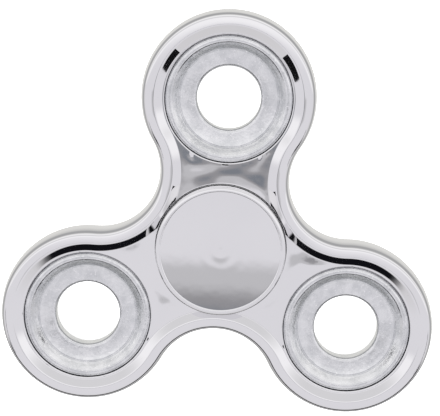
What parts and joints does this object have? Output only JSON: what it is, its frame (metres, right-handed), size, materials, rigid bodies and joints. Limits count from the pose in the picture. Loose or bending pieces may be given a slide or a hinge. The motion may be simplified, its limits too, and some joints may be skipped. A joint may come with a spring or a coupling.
{
  "type": "fidget spinner",
  "caption": "Three-lobed hand spinner: a chrome-plated body with round through-hole weights turning on a ball bearing between two dished finger caps.",
  "frame": {"origin": "centre of the bearing, midway between the two finger caps", "axes": "+Z along the spin axis towards the front cap, +Y towards the first lobe, +X across the widest span"},
  "size_m": [0.075, 0.069, 0.012],
  "materials": {
    "plated_body": "bright chrome plating over moulded ABS",
    "plated_cap": "bright chrome plating over moulded ABS",
    "zinc_plated_steel": "zinc plated, satin and slightly mottled",
    "bearing_steel": "ground",
    "polished_steel": "polished",
    "cage_steel": "pressed sheet, satin",
    "shield_steel": "pressed sheet, satin",
    "spring_steel": "oiled spring wire"
  },
  "bodies": {
    "hub": {"finger_cap_front": "plated_cap", "finger_cap_rear": "plated_cap", "bearing_inner_race": "bearing_steel"},
    "rotor": {"spinner_body": "plated_body", "weight_ring_1": "zinc_plated_steel", "weight_ring_2": "zinc_plated_steel", "weight_ring_3": "zinc_plated_steel", "bearing_outer_race": "bearing_steel", "bearing_shield_front": "shield_steel", "bearing_shield_rear": "shield_steel", "shield_snap_ring_front": "spring_steel", "shield_snap_ring_rear": "spring_steel"},
    "cage": {"ball_cage_front": "cage_steel", "ball_cage_rear": "cage_steel", "cage_rivets": "cage_steel"},
    "ball_1": {"bearing_ball_1": "polished_steel"},
    "ball_2": {"bearing_ball_2": "polished_steel"},
    "ball_3": {"bearing_ball_3": "polished_steel"},
    "ball_4": {"bearing_ball_4": "polished_steel"},
    "ball_5": {"bearing_ball_5": "polished_steel"},
    "ball_6": {"bearing_ball_6": "polished_steel"},
    "ball_7": {"bearing_ball_7": "polished_steel"}
  },
  "joints": [
    {"name": "body_spin", "type": "hinge", "parent": "hub", "child": "rotor", "pos_m": [0, 0, 0], "axis": [0, 0, 1], "continuous": true},
    {"name": "cage_orbit", "type": "hinge", "parent": "hub", "child": "cage", "pos_m": [0, 0, 0], "axis": [0, 0, 1], "continuous": true},
    {"name": "ball_1_roll", "type": "hinge", "parent": "cage", "child": "ball_1", "pos_m": [0.0075, 0, 0], "axis": [0, 0, 1], "continuous": true},
    {"name": "ball_2_roll", "type": "hinge", "parent": "cage", "child": "ball_2", "pos_m": [0.00468, 0.00586, 0], "axis": [0, 0, 1], "continuous": true},
    {"name": "ball_3_roll", "type": "hinge", "parent": "cage", "child": "ball_3", "pos_m": [-0.00167, 0.00731, 0], "axis": [0, 0, 1], "continuous": true},
    {"name": "ball_4_roll", "type": "hinge", "parent": "cage", "child": "ball_4", "pos_m": [-0.00676, 0.00325, 0], "axis": [0, 0, 1], "continuous": true},
    {"name": "ball_5_roll", "type": "hinge", "parent": "cage", "child": "ball_5", "pos_m": [-0.00676, -0.00325, 0], "axis": [0, 0, 1], "continuous": true},
    {"name": "ball_6_roll", "type": "hinge", "parent": "cage", "child": "ball_6", "pos_m": [-0.00167, -0.00731, 0], "axis": [0, 0, 1], "continuous": true},
    {"name": "ball_7_roll", "type": "hinge", "parent": "cage", "child": "ball_7", "pos_m": [0.00468, -0.00586, 0], "axis": [0, 0, 1], "continuous": true}
  ],
  "couplings": [
    {"joint": "cage_orbit", "follows": "body_spin", "ratio": 0.6323},
    {"joint": "ball_1_roll", "follows": "body_spin", "ratio": 1.7573},
    {"joint": "ball_2_roll", "follows": "body_spin", "ratio": 1.7573},
    {"joint": "ball_3_roll", "follows": "body_spin", "ratio": 1.7573},
    {"joint": "ball_4_roll", "follows": "body_spin", "ratio": 1.7573},
    {"joint": "ball_5_roll", "follows": "body_spin", "ratio": 1.7573},
    {"joint": "ball_6_roll", "follows": "body_spin", "ratio": 1.7573},
    {"joint": "ball_7_roll", "follows": "body_spin", "ratio": 1.7573}
  ]
}
